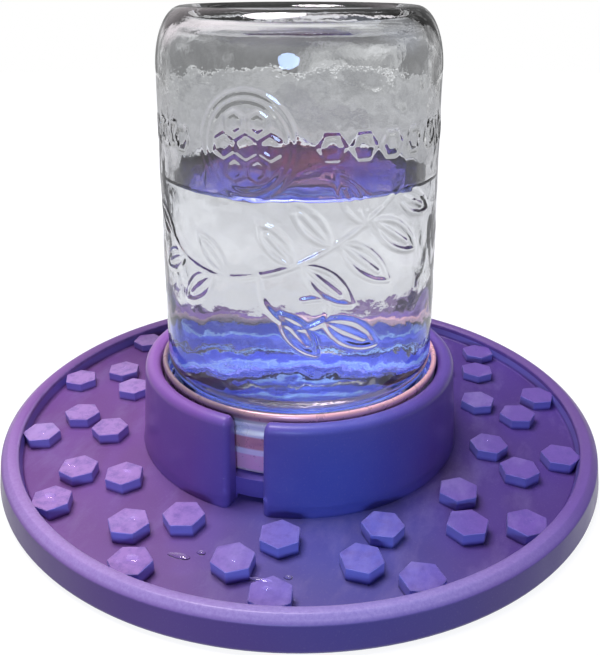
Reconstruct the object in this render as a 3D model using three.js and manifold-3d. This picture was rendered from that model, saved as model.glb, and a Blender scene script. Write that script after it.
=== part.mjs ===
// Open-dish bee feeder: a moulded round dish with landing studs and an upright collar,
// and a preserving jar that stands in the collar with its mouth down.
// Millimetres, +Z up. The origin is at the centre of the dish's underside. The collar's slot faces -Y.

import * as THREE from 'three';
import { mergeVertices } from 'three/addons/utils/BufferGeometryUtils.js';
import Module from 'manifold-3d';

const wasm = await Module();
wasm.setup();

// Clearances between neighbouring pieces, and how far a cut runs past a face
const gap = 0.3;
const collarPlay = 0.5;
const threadPlay = 0.7;
const overrun = 2;
const mergeDistance = 0.0001;

// Dish
const dishRadius = 100;
const dishFloor = 1.8;
const rootDepth = 1;
const footRound = 2.2;
const rimHeight = 10.6;
const rimWidth = 6.6;
const rimLean = 1.1;
const rimShoulder = 2.2;
const rimEdgeRound = 0.8;
const rimEdgeTurn = 46;
const rimCrestInset = 3.6;
const rimCrownPower = 1.3;
const rimInnerRound = 1.2;
const rimFootRound = 0.9;

// Landing studs, in as many rings as fit between the rim and the collar's foot
const studsPerRing = 14;
const studRimDistance = 5.7;
const studRingPitch = 11.25;
const studStepShares = [1 / 2, 1 / 6];
const studSides = 6;
const studCorner = 6.2;
const studDraft = 0.15;
const studHeight = 6.6;

// Collar, its slot, the seat inside it and the gate under the seat
const collarWall = 5.2;
const collarFlare = 2.6;
const collarHeight = 33.2;
const collarRound = 2.9;
const slotWidth = 9.8;
const jambRound = 2;
const jambLimitShare = 2 / 5;
const seatHeight = 12.4;
const seatWidth = 9.6;
const gateWidth = 9;
const gateHeight = 3.2;

// Screw band, lid disc and its sealing ring
const bandHeight = 21.2;
const bandSheet = 0.7;
const bandCorner = 1.6;
const bandLip = 9.4;
const hemRadius = 1;
const lidSheet = 0.7;
const lidInset = 0.9;
const sealHeight = 1;
const sealWidth = 3.8;
const holeRadius = 0.9;
const holeSpacing = 9;
const holeRings = 2;

// Screw thread
const threadPitch = 5.08;
const threadTurns = 1.25;
const threadDepth = 1.8;
const threadRoot = 2.2;
const threadCrest = 1;
const threadStart = 4;
const threadRunOut = 18;
const threadEndShare = 1 / 4;

// Jar, measured from its mouth
const jarHeight = 124.5;
const jarBodyRadius = 43.3;
const jarNeckInset = 1.3;
const jarHeelInset = 2.2;
const jarWall = 2.8;
const jarBase = 4;
const jarPushUp = 2.2;
const neckLength = 16.6;
const shoulderLength = 4;
const heelHeight = 17;
const heelWidth = 8.4;
const bearingWidth = 2.4;
const fillHeight = 77.8;

// Pool of liquid in the dish
const poolDepth = 6.3;

// Fineness of the round shapes
const ringSteps = 70;
const jarSteps = 48;
const holeSteps = 6;
const arcSteps = 4;
const smallArcSteps = 2;
const collarTopSteps = 6;

// Sizes that follow from the ones above. The band fits the jar's thread, and the collar fits the band.
const neckRadius = jarBodyRadius - jarNeckInset;
const threadCrestRadius = neckRadius + threadDepth;
const bandInner = threadCrestRadius + threadPlay;
const bandRadius = bandInner + bandSheet + hemRadius / 2;
const collarInner = bandRadius + collarPlay;
const collarTopRadius = collarInner + collarWall;
const collarFootRadius = collarTopRadius + collarFlare;
const jamb = Math.min(jambRound, collarWall * jambLimitShare);
const rimInnerRadius = dishRadius - rimWidth;
const rootHeight = dishFloor - rootDepth;
const studStep = 360 / studsPerRing;
const studRoom = rimInnerRadius - collarFootRadius - studRimDistance - studCorner;
const studRings = 1 + Math.floor(studRoom / studRingPitch);
const bandFloor = seatHeight + gap;
const lidFloor = bandFloor + bandSheet + gap;
const lidTop = lidFloor + lidSheet;
const sealFloor = lidTop + gap;
const mouthHeight = sealFloor + sealHeight + gap;
const mouthInner = neckRadius - jarWall;
const lidRadius = bandInner - lidInset;
const sealOuter = lidRadius - gap;
const sealInner = sealOuter - sealWidth;
const shoulderFoot = mouthHeight + neckLength;
const shoulderTop = shoulderFoot + shoulderLength;
const heelRadius = jarBodyRadius - jarHeelInset;
const bearingRadius = heelRadius - heelWidth;
const jarTop = mouthHeight + jarHeight;
const heelFoot = jarTop - heelHeight;
const fillTop = mouthHeight + fillHeight;
const poolTop = dishFloor + poolDepth;

// Points [r, z] along part of an ellipse, angles in degrees from the +r direction
function arc(centreR, centreZ, radiusR, radiusZ, from, to, steps = arcSteps) {
  const points = [];
  for (let k = 0; k <= steps; k++) {
    const angle = THREE.MathUtils.degToRad(from + ((to - from) * k) / steps);
    points.push([centreR + radiusR * Math.cos(angle), centreZ + radiusZ * Math.sin(angle)]);
  }
  return points;
}

// Positions and triangles of a mesh, with shared corners merged and flattened triangles dropped
function merged(geometry) {
  const bare = geometry.clone();
  bare.deleteAttribute('normal');
  bare.deleteAttribute('uv');
  const joined = mergeVertices(bare, mergeDistance);
  const kept = [];
  for (let k = 0; k < joined.index.count; k += 3) {
    const [a, b, c] = [0, 1, 2].map((corner) => joined.index.getX(k + corner));
    if (a !== b && b !== c && c !== a) kept.push(a, b, c);
  }
  joined.setIndex(kept);
  return joined;
}

// Closed mesh to solid
function solid(geometry) {
  const closed = merged(geometry);
  const vertProperties = new Float32Array(closed.attributes.position.array);
  const triVerts = new Uint32Array(closed.index.array);
  return new wasm.Manifold(new wasm.Mesh({ numProp: 3, vertProperties, triVerts }));
}

// Solid back to a geometry that a mesh can hold
function geometryOf(body) {
  const mesh = body.getMesh();
  const geometry = new THREE.BufferGeometry();
  geometry.setAttribute('position', new THREE.BufferAttribute(mesh.vertProperties, 3));
  geometry.setIndex(new THREE.BufferAttribute(mesh.triVerts, 1));
  const closed = merged(geometry);
  closed.computeVertexNormals();
  return closed;
}

// Body of revolution about Z from an outline [r, z] that runs up its outside and down its inside
function turned(outline, steps = jarSteps) {
  const points = outline.map(([r, z]) => new THREE.Vector2(r, z));
  const geometry = new THREE.LatheGeometry(points, steps);
  geometry.rotateX(Math.PI / 2);
  return solid(geometry);
}

// Closed mesh from equal rings of points, counter-clockwise as radius and height, with both ends capped
function skinned(rings) {
  const count = rings[0].length;
  const positions = rings.flat(2);
  const index = [];
  for (let k = 0; k + 1 < rings.length; k++) {
    for (let m = 0; m < count; m++) {
      const a = k * count + m;
      const b = k * count + ((m + 1) % count);
      index.push(a, b + count, b, a, a + count, b + count);
    }
  }
  const outline = rings[0].map(([x, y, z]) => new THREE.Vector2(Math.hypot(x, y), z));
  const last = (rings.length - 1) * count;
  for (const [a, b, c] of THREE.ShapeUtils.triangulateShape(outline, [])) {
    index.push(a, b, c, last + a, last + c, last + b);
  }
  const geometry = new THREE.BufferGeometry();
  geometry.setAttribute('position', new THREE.Float32BufferAttribute(positions, 3));
  geometry.setIndex(index);
  return geometry;
}

// Outline point [r, z] turned to an angle in degrees from -Y, counter-clockwise seen from above
function around([r, z], angle) {
  const turn = THREE.MathUtils.degToRad(angle);
  return [r * Math.sin(turn), -r * Math.cos(turn), z];
}

// The dish as one turned body. Its rim has a leaning wall, a small round edge and a crown above that,
// which rises to the crest.
function dishSolid() {
  const crestRadius = dishRadius - rimCrestInset;
  const edgeRadius = dishRadius - rimLean - rimEdgeRound;
  const edgeHeight = rimHeight - rimShoulder;
  const edge = arc(edgeRadius, edgeHeight, rimEdgeRound, rimEdgeRound, 0, rimEdgeTurn, smallArcSteps);
  const [crownRadius, crownHeight] = edge.at(-1);
  const crown = [];
  for (let k = 1; k <= arcSteps; k++) {
    const left = 1 - k / arcSteps;
    const fall = (rimHeight - crownHeight) * left ** rimCrownPower;
    crown.push([crestRadius + (crownRadius - crestRadius) * left, rimHeight - fall]);
  }
  const innerHalf = crestRadius - rimInnerRadius;
  const rimFoot = rimInnerRadius - rimFootRound;
  return turned([
    [0, 0],
    ...arc(dishRadius - footRound, footRound, footRound, footRound, -90, 0, smallArcSteps),
    ...edge,
    ...crown,
    ...arc(crestRadius, rimHeight - rimInnerRound, innerHalf, rimInnerRound, 90, 180).slice(1),
    ...arc(rimFoot, dishFloor + rimFootRound, rimFootRound, rimFootRound, 0, -90, smallArcSteps),
    [0, dishFloor],
  ], ringSteps);
}

// The collar: a wall with a round top, swept round the dish and rounded off at both sides of the slot
function collarSolid(grow) {
  const middle = (collarInner + collarTopRadius) / 2;
  const section = (inset) => {
    const half = (collarTopRadius - collarInner) / 2 - inset;
    const rise = collarRound - inset;
    const base = collarHeight - collarRound;
    return [
      [collarFootRadius - inset, rootHeight],
      ...arc(middle, base, half, rise, 0, 180, collarTopSteps),
      [collarInner + inset, rootHeight],
    ];
  };
  const slotEdge = THREE.MathUtils.radToDeg(Math.asin((slotWidth / 2 - grow) / middle));
  const roundAngle = THREE.MathUtils.radToDeg(jamb / middle);
  const stations = [];
  for (let k = 0; k <= arcSteps; k++) {
    const turn = ((Math.PI / 2) * k) / arcSteps;
    const angle = slotEdge + roundAngle * (1 - Math.cos(turn));
    stations.push({ angle, inset: jamb * (1 - Math.sin(turn)) });
  }
  const start = slotEdge + roundAngle;
  const steps = Math.round((ringSteps * (360 - 2 * start)) / 360);
  const middleStations = [];
  for (let k = 1; k < steps; k++) {
    middleStations.push({ angle: start + ((360 - 2 * start) * k) / steps, inset: 0 });
  }
  const closing = stations.map(({ angle, inset }) => ({ angle: 360 - angle, inset })).reverse();
  const rings = [...stations, ...middleStations, ...closing].map(({ angle, inset }) =>
    section(inset - grow).map((point) => around(point, angle)),
  );
  return solid(skinned(rings));
}

// The ring seat that the band stands on, with the low gate that lets liquid out to the dish
function seatSolid(grow) {
  const outer = collarInner + gap + grow;
  const inner = collarInner - seatWidth - grow;
  const ring = turned([
    [inner, rootHeight],
    [outer, rootHeight],
    [outer, seatHeight + grow],
    [inner, seatHeight + grow],
    [inner, rootHeight],
  ]);
  const height = gateHeight + overrun - grow;
  const gate = new THREE.BoxGeometry(gateWidth - 2 * grow, seatWidth + 2 * overrun, height);
  gate.translate(0, -(collarInner - seatWidth / 2), dishFloor + gateHeight - grow - height / 2);
  return ring.subtract(solid(gate));
}

// All landing studs, sunk a little into the floor
function studsSolid(grow) {
  const height = studHeight + grow + rootDepth;
  let studs = null;
  for (let ring = 0; ring < studRings; ring++) {
    const radius = rimInnerRadius - studRimDistance - studRingPitch * ring;
    const stepShare = studStepShares[ring % studStepShares.length];
    for (let k = 0; k < studsPerRing; k++) {
      const top = studCorner - studDraft + grow;
      const stud = new THREE.CylinderGeometry(top, studCorner + grow, height, studSides);
      stud.rotateX(Math.PI / 2);
      const angle = studStep * (stepShare + k);
      stud.rotateZ(THREE.MathUtils.degToRad(angle));
      stud.translate(...around([radius, dishFloor + studHeight + grow - height / 2], angle));
      studs = studs ? studs.add(solid(stud)) : solid(stud);
    }
  }
  return studs;
}

// Helical ridge about Z. Its root lies at one radius and its crest at another, inside or outside.
function ridge(rootRadius, crestRadius, startHeight) {
  const steps = Math.round(jarSteps * threadTurns);
  const outward = Math.sign(crestRadius - rootRadius);
  const sunk = rootRadius - outward * (bandSheet / 2);
  const turnPerStep = (360 * threadTurns) / steps;
  const risePerStep = (threadPitch * threadTurns) / steps;
  const rings = [];
  for (let k = 0; k <= steps; k++) {
    const fromEnd = Math.min(k, steps - k) * turnPerStep;
    const fade = Math.min(1, threadEndShare + fromEnd / threadRunOut);
    const crest = rootRadius + (crestRadius - rootRadius) * fade;
    const middle = startHeight + risePerStep * k;
    const section = [
      [sunk, middle - threadRoot / 2],
      [crest, middle - threadCrest / 2],
      [crest, middle + threadCrest / 2],
      [sunk, middle + threadRoot / 2],
    ];
    if (outward < 0) section.reverse();
    rings.push(section.map((point) => around(point, turnPerStep * k)));
  }
  return solid(skinned(rings));
}

// Dish, studs, collar and seat in one moulding
function trayGeometry() {
  return geometryOf(dishSolid().add(studsSolid(0)).add(collarSolid(0)).add(seatSolid(0)));
}

// Liquid that stands in the dish, in the slot, in the gate and in the well under the jar
function poolGeometry() {
  const pool = turned([
    [0, dishFloor + gap],
    [rimInnerRadius - rimFootRound - gap, dishFloor + gap],
    [rimInnerRadius - gap, dishFloor + rimFootRound + gap],
    [rimInnerRadius - gap, poolTop],
    [0, poolTop],
  ], ringSteps);
  return geometryOf(pool.subtract(studsSolid(gap)).subtract(collarSolid(gap)).subtract(seatSolid(gap)));
}

// Rolled sheet band: lip under the lid, wall with a pressed thread, hem at its open edge
function bandGeometry() {
  const wallOuter = bandInner + bandSheet;
  const top = bandFloor + bandHeight;
  const lipInner = bandRadius - bandLip;
  const cornerRadius = wallOuter - bandCorner;
  const cornerHeight = bandFloor + bandCorner;
  const innerCorner = bandCorner - bandSheet;
  const shell = turned([
    [lipInner, bandFloor],
    ...arc(cornerRadius, cornerHeight, bandCorner, bandCorner, -90, 0, smallArcSteps),
    [wallOuter, top - 2 * hemRadius],
    ...arc(bandRadius - hemRadius, top - hemRadius, hemRadius, hemRadius, -45, 135),
    [bandInner, top - hemRadius],
    ...arc(cornerRadius, cornerHeight, innerCorner, innerCorner, 0, -90, smallArcSteps),
    [lipInner, bandFloor + bandSheet],
    [lipInner, bandFloor],
  ]);
  const middle = mouthHeight + threadStart + threadPitch / 2;
  const pressed = ridge(bandInner, neckRadius + threadPlay, middle);
  const groove = ridge(wallOuter, wallOuter - bandSheet / 2, middle);
  return geometryOf(shell.add(pressed).subtract(groove));
}

// Lid disc with its small feeding holes in a hexagonal pattern
function lidGeometry() {
  let disc = turned([
    [0, lidFloor],
    [lidRadius, lidFloor],
    [lidRadius, lidTop],
    [0, lidTop],
  ]);
  for (let q = -holeRings; q <= holeRings; q++) {
    for (let r = -holeRings; r <= holeRings; r++) {
      if (Math.abs(q + r) > holeRings) continue;
      const hole = new THREE.CylinderGeometry(holeRadius, holeRadius, lidSheet + 2 * overrun, holeSteps);
      hole.rotateX(Math.PI / 2);
      const x = holeSpacing * (q + r / 2);
      const y = holeSpacing * r * Math.sin(Math.PI / 3);
      hole.translate(x, y, (lidFloor + lidTop) / 2);
      disc = disc.subtract(solid(hole));
    }
  }
  return geometryOf(disc);
}

// Ring of sealing compound between the lid disc and the jar's mouth
function sealGeometry() {
  return geometryOf(
    turned([
      [sealInner, sealFloor],
      [sealOuter, sealFloor],
      [sealOuter, sealFloor + sealHeight],
      [sealInner, sealFloor + sealHeight],
      [sealInner, sealFloor],
    ]),
  );
}

// Outside of the jar as radius and height, from the mouth up to the bearing ring
function jarOutside() {
  return [
    ...arc(neckRadius, shoulderTop, jarBodyRadius - neckRadius, shoulderLength, -90, 0),
    ...arc(bearingRadius, heelFoot, heelWidth, heelHeight, 0, 90),
  ];
}

// Jar: glass shell with a pushed-up base and the outer thread
function jarGeometry() {
  const pushUpRadius = bearingRadius - 2 * bearingWidth;
  const pushUpTop = jarTop - jarPushUp;
  const shell = turned([
    [mouthInner, mouthHeight],
    [neckRadius, mouthHeight],
    ...jarOutside(),
    [bearingRadius - bearingWidth, jarTop],
    [pushUpRadius, pushUpTop],
    [0, pushUpTop],
    [0, pushUpTop - jarBase],
    [pushUpRadius, pushUpTop - jarBase],
    ...arc(bearingRadius, heelFoot, heelWidth - jarWall, heelHeight - jarBase, 90, 0),
    [jarBodyRadius - jarWall, shoulderTop],
    [mouthInner, shoulderFoot],
    [mouthInner, mouthHeight],
  ]);
  const thread = ridge(neckRadius, threadCrestRadius, mouthHeight + threadStart);
  return geometryOf(shell.add(thread));
}

// Liquid in the jar, from the lid disc up to its level
function jarLiquidGeometry() {
  const levelRadius = jarBodyRadius - (jarHeelInset * (fillTop - shoulderTop)) / (heelFoot - shoulderTop);
  return geometryOf(
    turned([
      [0, lidTop + gap],
      [sealInner - gap, lidTop + gap],
      [sealInner - gap, mouthHeight + gap],
      [mouthInner - gap, mouthHeight + 2 * gap],
      [mouthInner - gap, shoulderFoot],
      [jarBodyRadius - jarWall - gap, shoulderTop],
      [levelRadius - jarWall - gap, fillTop],
      [0, fillTop],
    ]),
  );
}

// A named mesh with its own finish
function piece(name, geometry, finish) {
  const mesh = new THREE.Mesh(geometry, new THREE.MeshStandardMaterial(finish));
  mesh.name = name;
  return mesh;
}

const clearFinish = { roughness: 0.04, metalness: 0, transparent: true, opacity: 0.3 };

const feeder = new THREE.Group();
feeder.add(piece('tray', trayGeometry(), { color: 0x7a5aa8, roughness: 0.5, metalness: 0 }));
feeder.add(piece('tray_liquid', poolGeometry(), { ...clearFinish, color: 0xcfd8ee }));

const screwedLid = new THREE.Group();
screwedLid.add(piece('lid_disc', lidGeometry(), { color: 0x7d7fd0, roughness: 0.35, metalness: 0.8 }));
screwedLid.add(piece('lid_seal', sealGeometry(), { color: 0x3a3f9e, roughness: 0.6, metalness: 0 }));
screwedLid.add(piece('screw_band', bandGeometry(), { color: 0xb99ac6, roughness: 0.3, metalness: 0.8 }));
feeder.add(screwedLid);

const filledJar = new THREE.Group();
filledJar.add(piece('jar', jarGeometry(), { ...clearFinish, color: 0xe6edf2 }));
filledJar.add(piece('jar_liquid', jarLiquidGeometry(), { ...clearFinish, color: 0xcfd8ee }));
feeder.add(filledJar);

export default feeder;
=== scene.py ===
import math

import bmesh
import bpy
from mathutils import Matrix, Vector, noise as waves
from mathutils.kdtree import KDTree


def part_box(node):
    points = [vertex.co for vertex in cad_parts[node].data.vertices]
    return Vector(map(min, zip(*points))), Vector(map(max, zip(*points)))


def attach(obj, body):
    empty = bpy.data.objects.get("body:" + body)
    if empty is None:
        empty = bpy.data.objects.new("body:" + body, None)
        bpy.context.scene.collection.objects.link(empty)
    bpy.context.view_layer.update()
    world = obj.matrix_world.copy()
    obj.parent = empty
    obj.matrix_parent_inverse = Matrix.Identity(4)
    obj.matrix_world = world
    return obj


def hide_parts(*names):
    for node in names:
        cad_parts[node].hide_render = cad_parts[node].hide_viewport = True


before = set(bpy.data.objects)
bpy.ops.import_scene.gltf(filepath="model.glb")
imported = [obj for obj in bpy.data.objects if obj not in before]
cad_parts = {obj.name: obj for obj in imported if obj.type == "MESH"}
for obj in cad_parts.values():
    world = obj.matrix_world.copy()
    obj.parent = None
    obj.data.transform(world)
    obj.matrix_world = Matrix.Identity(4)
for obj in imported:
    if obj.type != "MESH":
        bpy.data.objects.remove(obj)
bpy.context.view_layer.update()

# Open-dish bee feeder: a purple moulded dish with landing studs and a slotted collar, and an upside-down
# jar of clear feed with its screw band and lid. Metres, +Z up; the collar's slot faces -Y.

mm = 0.001

# Places that the frame gives
tray_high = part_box("tray")[1]
pool_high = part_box("tray_liquid")[1]
band_low, band_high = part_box("screw_band")
lid_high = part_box("lid_disc")[1]
seal_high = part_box("lid_seal")[1]
jar_low, jar_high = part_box("jar")
feed_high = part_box("jar_liquid")[1]

# Dish
dish_radius = tray_high.y
dish_floor = 1.8 * mm
foot_round = 2.2 * mm
rim_height = 10.6 * mm
rim_lean = 1.1 * mm
rim_shoulder = 2.2 * mm
rim_edge_round = 0.8 * mm
rim_edge_turn = 46
rim_crest = 3.6 * mm
rim_crown_power = 1.3
rim_crown_steps = 8
rim_width = 6.6 * mm
rim_inner_round = 1.2 * mm
rim_foot_round = 0.9 * mm
rim_inner = dish_radius - rim_width

# Landing studs
studs_per_ring = 14
stud_rings = 3
stud_ring_pitch = 11.25 * mm
stud_rim_distance = 5.7 * mm
stud_step_shares = (1 / 2, 1 / 6)
stud_corner = 6.2 * mm
stud_height = 6.6 * mm
stud_edge = 0.45 * mm
stud_top = dish_floor + stud_height
root_depth = 1 * mm

# Collar, slot and seat
collar_top = tray_high.z
collar_wall = 5.2 * mm
collar_flare = 2.6 * mm
collar_play = 0.5 * mm
collar_crown_flat = 0.08 * mm
collar_steps = 132
collar_inner = band_high.x + collar_play
collar_outer = collar_inner + collar_wall
slot_width = 9.8 * mm
slot_corner = 3.4 * mm
jamb_round = 1.9 * mm
jamb_flat = 0.1 * mm
jamb_steps = 6
seat_height = 12.4 * mm
seat_width = 9.6 * mm
seat_edge = 0.6 * mm
gate_width = 9 * mm
gate_height = 3.2 * mm

# Jar
jar_body = 43.3 * mm
jar_neck = jar_body - 1.3 * mm
jar_heel_inset = 2.2 * mm
jar_wall = 2.8 * mm
jar_base = 4 * mm
push_up = 2.2 * mm
neck_length = 16.6 * mm
shoulder_length = 4 * mm
heel_height = 17 * mm
heel_width = 8.4 * mm
bearing_width = 2.4 * mm
mouth_round = 0.9 * mm
shoulder_foot = jar_low.z + neck_length
shoulder_top = shoulder_foot + shoulder_length
heel_foot = jar_high.z - heel_height
jar_heel = jar_body - jar_heel_inset
jar_bearing = jar_heel - heel_width
jar_taper = jar_heel_inset / (heel_foot - shoulder_top)

# Rounding of the glass at its mouth: out from the bore or in from the neck, and up
lip_at_bore = ((0, 0.8 * mm), (0.5 * mm, 0.15 * mm))
lip_at_neck = ((0.7 * mm, 0), (0.2 * mm, 0.3 * mm), (0, mouth_round))

# Screw thread, and its half width at the root and at the crest, on the glass and in the band
thread_pitch = 5.08 * mm
thread_turns = 1.25
thread_depth = 1.8 * mm
thread_start = 4 * mm
thread_runout = 18
glass_thread = (1.1 * mm, 0.5 * mm)
band_thread = (1.3 * mm, 0.4 * mm)
band_thread_depth = 0.6 * mm

# Screw band
sheet = 0.7 * mm
band_lip = 9.4 * mm
band_corner = 1.6 * mm
band_inset = 0.3 * mm
band_waist = 0.25 * mm
band_wall_steps = 40
hem_half_height = 1.25 * mm
hem_half_width = 0.88 * mm
hem_length = 2.3 * hem_half_height
hem_tuck = 0.5 * mm

# How far a clear liquid runs into the wall that holds it, so that no film of air shows between them
wetting = 0.5 * mm

# How a liquid's edge climbs at the wall: distance in from the wall, and height above the level
dish_edge_curl = (
    (-wetting, 0.5 * mm), (0, 0.45 * mm), (0.5 * mm, 0.2 * mm), (1.2 * mm, 0.05 * mm), (2.2 * mm, 0),
)
jar_edge_curl = (
    (-wetting, 1.4 * mm), (0.1 * mm, 1.3 * mm), (0.5 * mm, 0.7 * mm), (1.2 * mm, 0.25 * mm),
    (2.4 * mm, 0.05 * mm), (4 * mm, 0),
)

# Drops, in millimetres: stud ring and number, offset across and back, half widths; place and half widths
# in the dish; bearing from the slot in degrees, height and half width on the collar
drops_on_studs = (
    (0, 12, -1.0, 0.6, 2.1, 1.6), (0, 12, 1.6, -1.4, 0.9, 0.7), (0, 13, 0.4, 0.8, 2.4, 1.7),
    (0, 13, -2.6, -1.6, 0.8, 0.7), (1, 13, 1.0, 1.2, 1.5, 1.0), (1, 12, -1.2, -0.8, 1.3, 1.0),
    (2, 12, 0.6, 1.0, 1.6, 1.1), (0, 11, 0.8, -0.6, 1.4, 1.1), (1, 0, 0.6, -1.2, 1.2, 0.9),
    (0, 0, -1.4, 1.0, 1.5, 1.0), (0, 2, 1.2, 0.4, 1.0, 0.8), (2, 3, -0.8, 0.8, 1.1, 0.8),
    (1, 10, 0.5, 0.4, 1.2, 0.9), (0, 5, -0.6, 0.9, 1.2, 1.0), (2, 8, 0.8, -0.6, 1.4, 1.0),
)
drops_in_dish = (
    (-8, -80, 3.2, 1.1), (-3, -77, 1.2, 0.8), (16, -82, 3.4, 0.8), (22, -79, 1.1, 0.8), (-60, -52, 1.6, 0.9),
)
drops_on_collar = (
    (-6.9, 10.4, 0.6), (-8.6, 9.6, 0.45), (6.8, 10.2, 0.55), (-7.0, 14.5, 0.3), (24, 11, 0.3),
)
stud_drop_share = 0.8
stud_drop_height = 0.3 * mm
dish_drop_height = 0.5 * mm
collar_drop_depth = 0.5 * mm
collar_drop_sink = 0.1 * mm
drop_swell = 0.25

# Pressed ornament on the jar, in millimetres along the wall from the slot's side and up from the floor
comb_middle = (-1, 108.5)
comb_rings = (13.5, 11.6)
comb_cell = 2.7
comb_pitch = 6.6
row_cell = 3.2
row_cells_across = (-51, -42, -33, -24, 22, 31, 40, 49, 58, 67)
spray_stem = ((-30, 80), (-22, 75), (-8, 73), (10, 77), (28, 86), (44, 97))
spray_tendril = ((2, 75), (4, 66), (12, 60), (20, 62), (20, 68), (14, 68))
spray_leaves = (
    ((12, 78), (2, 89), 5.5), ((22, 83), (11, 95), 5.5), ((32, 88), (24, 101), 5.5),
    ((14, 78), (28, 66), 6.5), ((24, 84), (40, 71), 6.5), ((34, 89), (51, 78), 6.5),
    ((42, 95), (58, 88), 6), ((20, 62), (36, 53), 6.5), ((8, 64), (18, 52), 5.5),
    ((-30, 80), (-43, 87), 5.5), ((-24, 76), (-37, 70), 5.5), ((-12, 73), (-24, 63), 6),
    ((-8, 74), (-18, 84), 5.5),
)
leaf_shares = ((0.25, 0.75), (0.5, 1), (0.78, 0.7))
midrib_shares = (0.4, 0.75)
line_step = 0.25

# How the ornament stands up from the glass, where it is fainter, and the glass's own waves
ornament_width = 2.6 * mm
ornament_height = 0.42 * mm
ornament_margin = 0.9 * mm
faint_share = 0.55
faint_above = 92 * mm
faint_left = 2 * mm
glass_wave = 0.25 * mm
long_wave = 9 * mm
short_wave = 3.5 * mm
wave_fade = 8 * mm
neck_strips = 38
wall_strips = 75

# Colours of the moulding: plum on the left and violet on the right, whose drift is painted light from the
# left and painted shade on the right; indigo, painted blue light from the front; and the tones that lie over
# it, real marks and painted light and shade
plum = (0.258, 0.106, 0.380)
violet = (0.118, 0.060, 0.305)
indigo = (0.088, 0.118, 0.480)
speck_tone = (0.36, 0.28, 0.52)
# Painted highlight on the stud tops, strongest on the left
stud_top_highlight_tone = (0.50, 0.38, 0.68)
scuff_tone = (0.09, 0.06, 0.26)
# Lighter stretched streaks on the dish floor
floor_streak_tone = (0.46, 0.38, 0.70)
# Painted light on the stud sides, bluer and lighter towards the front
stud_side_light_tone = (0.40, 0.38, 0.92)
# Painted shade at the dish's far left
far_left_shade_tone = (0.05, 0.02, 0.10)
# Painted shade on the rim's crown behind
crown_shade_tone = (0.10, 0.04, 0.16)
# Dust on the rim's crown, with a painted sheen that is strongest in front
dust_and_sheen_tone = (0.46, 0.38, 0.66)
# Painted shade on the rim's outer wall, most on the left
wall_shade_tone = (0.03, 0.03, 0.09)

# Where the painted blue light from the front is strongest, and the stretches over which the moulding's tones
# change
front_light_middle = (0.030, -0.058, 0.018)
front_light_stretch = (0.030, 0.062)
front_light_radius = 62 * mm
violet_stretch = (-0.02, 0.07)
stud_side_light_stretch = (-0.08, -0.03)
far_shade_stretch = (0.0, 0.05)
left_stretch = (-0.03, 0.02)
crown_shade_stretch = (-0.05, 0.02)
dust_and_sheen_stretch = (-0.085, -0.03)
wall_shade_stretch = (-0.085, 0.0)
beside_collar = collar_outer + collar_flare + 0.5 * mm

# Clear feed, and the painted reflection on its surface in the jar: its tones and where they change
feed_tint = (0.96, 0.965, 0.97, 1)
feed_ior = 1.333
reflection_left = (0.34, 0.13, 0.13)
reflection_right = (0.33, 0.20, 0.37)
reflection_brown = (0.80, 0.26, 0.20)
reflection_front = (0.62, 0.50, 0.64)
reflection_brown_middle = (0, 0.012, 0)
reflection_side_stretch = (-0.03, 0.03)
reflection_brown_stretch = (0.004, 0.028)
reflection_front_stretch = (-0.034, 0.0)

# Lacquer of the band outside, with painted reflections, each a tone that holds above a height over its lip,
# and inside, with painted highlights and shade on its thread
rose = (0.90, 0.65, 0.68)
rose_reflections = (
    (1.5 * mm, (1, 0.50, 0.72)), (6.6 * mm, (1, 0.85, 1)), (8.6 * mm, (0.72, 0.32, 0.38)),
    (12.7 * mm, (0.97, 0.93, 1)), (18.2 * mm, (1, 0.50, 0.52)),
)
blue = (0.16, 0.20, 0.98)
# Painted highlights on the thread inside the band
blue_highlight = (0.54, 0.70, 0.95)
blue_highlight_width = 0.9 * mm
blue_highlight_count = 4
# Painted dark reflection on the hem's left side
dark_reflection_tone = (0.17, 0.13, 0.17)
# Painted highlights on the lid's rings
ring_highlight_tone = (0.80, 0.88, 1)
scuffed_sheet = (0.80, 0.72, 0.76)
tone_edge = 0.25 * mm
lid_blue = (0.22, 0.27, 1)
lid_highlight_rings = (19 * mm, 30 * mm, 36 * mm)

# Studio: the windows that mirrors and glass show, with direction, half width and softness in degrees, and
# colour; the lamps, with place, height aimed at, width and depth, power in watts, and colour
studio_windows = (
    ((-0.15, 0.1, 1), 22, 26, (0.85, 0.85, 0.86)),
    ((-0.8, 0.7, 0.6), 12, 16, (1, 0.93, 0.97)),
    ((0.9, 0.5, 0.6), 9, 14, (0.7, 0.75, 0.9)),
    ((-0.25, -1, 0.9), 12, 14, (0.8, 0.8, 0.84)),
)
studio_lamps = (
    ("overhead left", (-0.16, 0.04, 0.85), 0.02, (0.4, 0.35), 8.5, (1, 0.92, 0.97)),
    ("overhead right", (0.40, 0.05, 0.8), 0.02, (0.4, 0.4), 0.8, (0.78, 0.84, 1)),
    ("front", (0.16, -0.9, 0.36), 0.03, (0.25, 0.25), 3.6, (0.44, 0.62, 1)),
)
wall_grey = (0.23, 0.23, 0.233)
wall_pale = (0.85, 0.85, 0.86)
dome_colour = (0.74, 0.82, 1, 1)
dome_strength = 0.12
floor_grey = (0.15, 0.155, 0.17, 1)
floor_radius = 1.25
floor_drop = 0.05 * mm
floor_brink = 0.06
floor_brink_width = 0.02

# How far a cutter goes past what it cuts, and how close two points are one
cut_past = 2 * mm
merge_distance = 0.001 * mm


# Modelling by hand, in steps that repeat

def deselect():
    bpy.ops.object.select_all(action="DESELECT")


def only(piece):
    deselect()
    piece.select_set(True)
    bpy.context.view_layer.objects.active = piece


def edit(piece, mode="VERT"):
    only(piece)
    bpy.ops.object.mode_set(mode="EDIT")
    bpy.ops.mesh.select_mode(type=mode)


def done():
    bpy.ops.object.mode_set(mode="OBJECT")


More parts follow.
